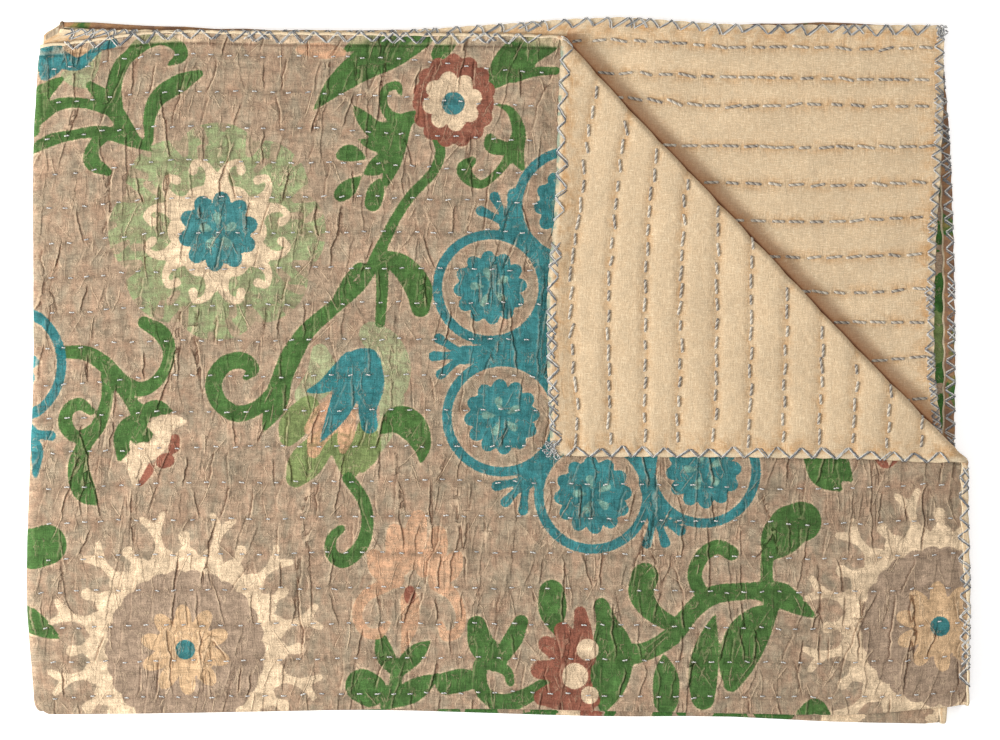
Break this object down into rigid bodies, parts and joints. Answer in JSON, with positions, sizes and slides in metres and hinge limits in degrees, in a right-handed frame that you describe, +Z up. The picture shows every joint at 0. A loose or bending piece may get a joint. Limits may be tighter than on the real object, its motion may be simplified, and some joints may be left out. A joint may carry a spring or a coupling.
{
  "type": "kantha quilt",
  "caption": "Kantha throw quilt folded in quarters, its printed face outside and a corner turned back to show the plain backing.",
  "frame": {"origin": "middle of the folded quilt's bounding box, at the level of the surface it lies on", "axes": "+X from the long fold's side towards the open right edge, +Y towards the open top edge, +Z up"},
  "size_m": [0.8934, 0.6668, 0.0238],
  "materials": {
    "face_cloth": "stonewashed printed cotton, matt",
    "back_cloth": "plain slubby beige cotton, matt"
  },
  "bodies": {
    "root": {"face_cloth": "face_cloth", "back_cloth": "back_cloth"}
  },
  "joints": []
}
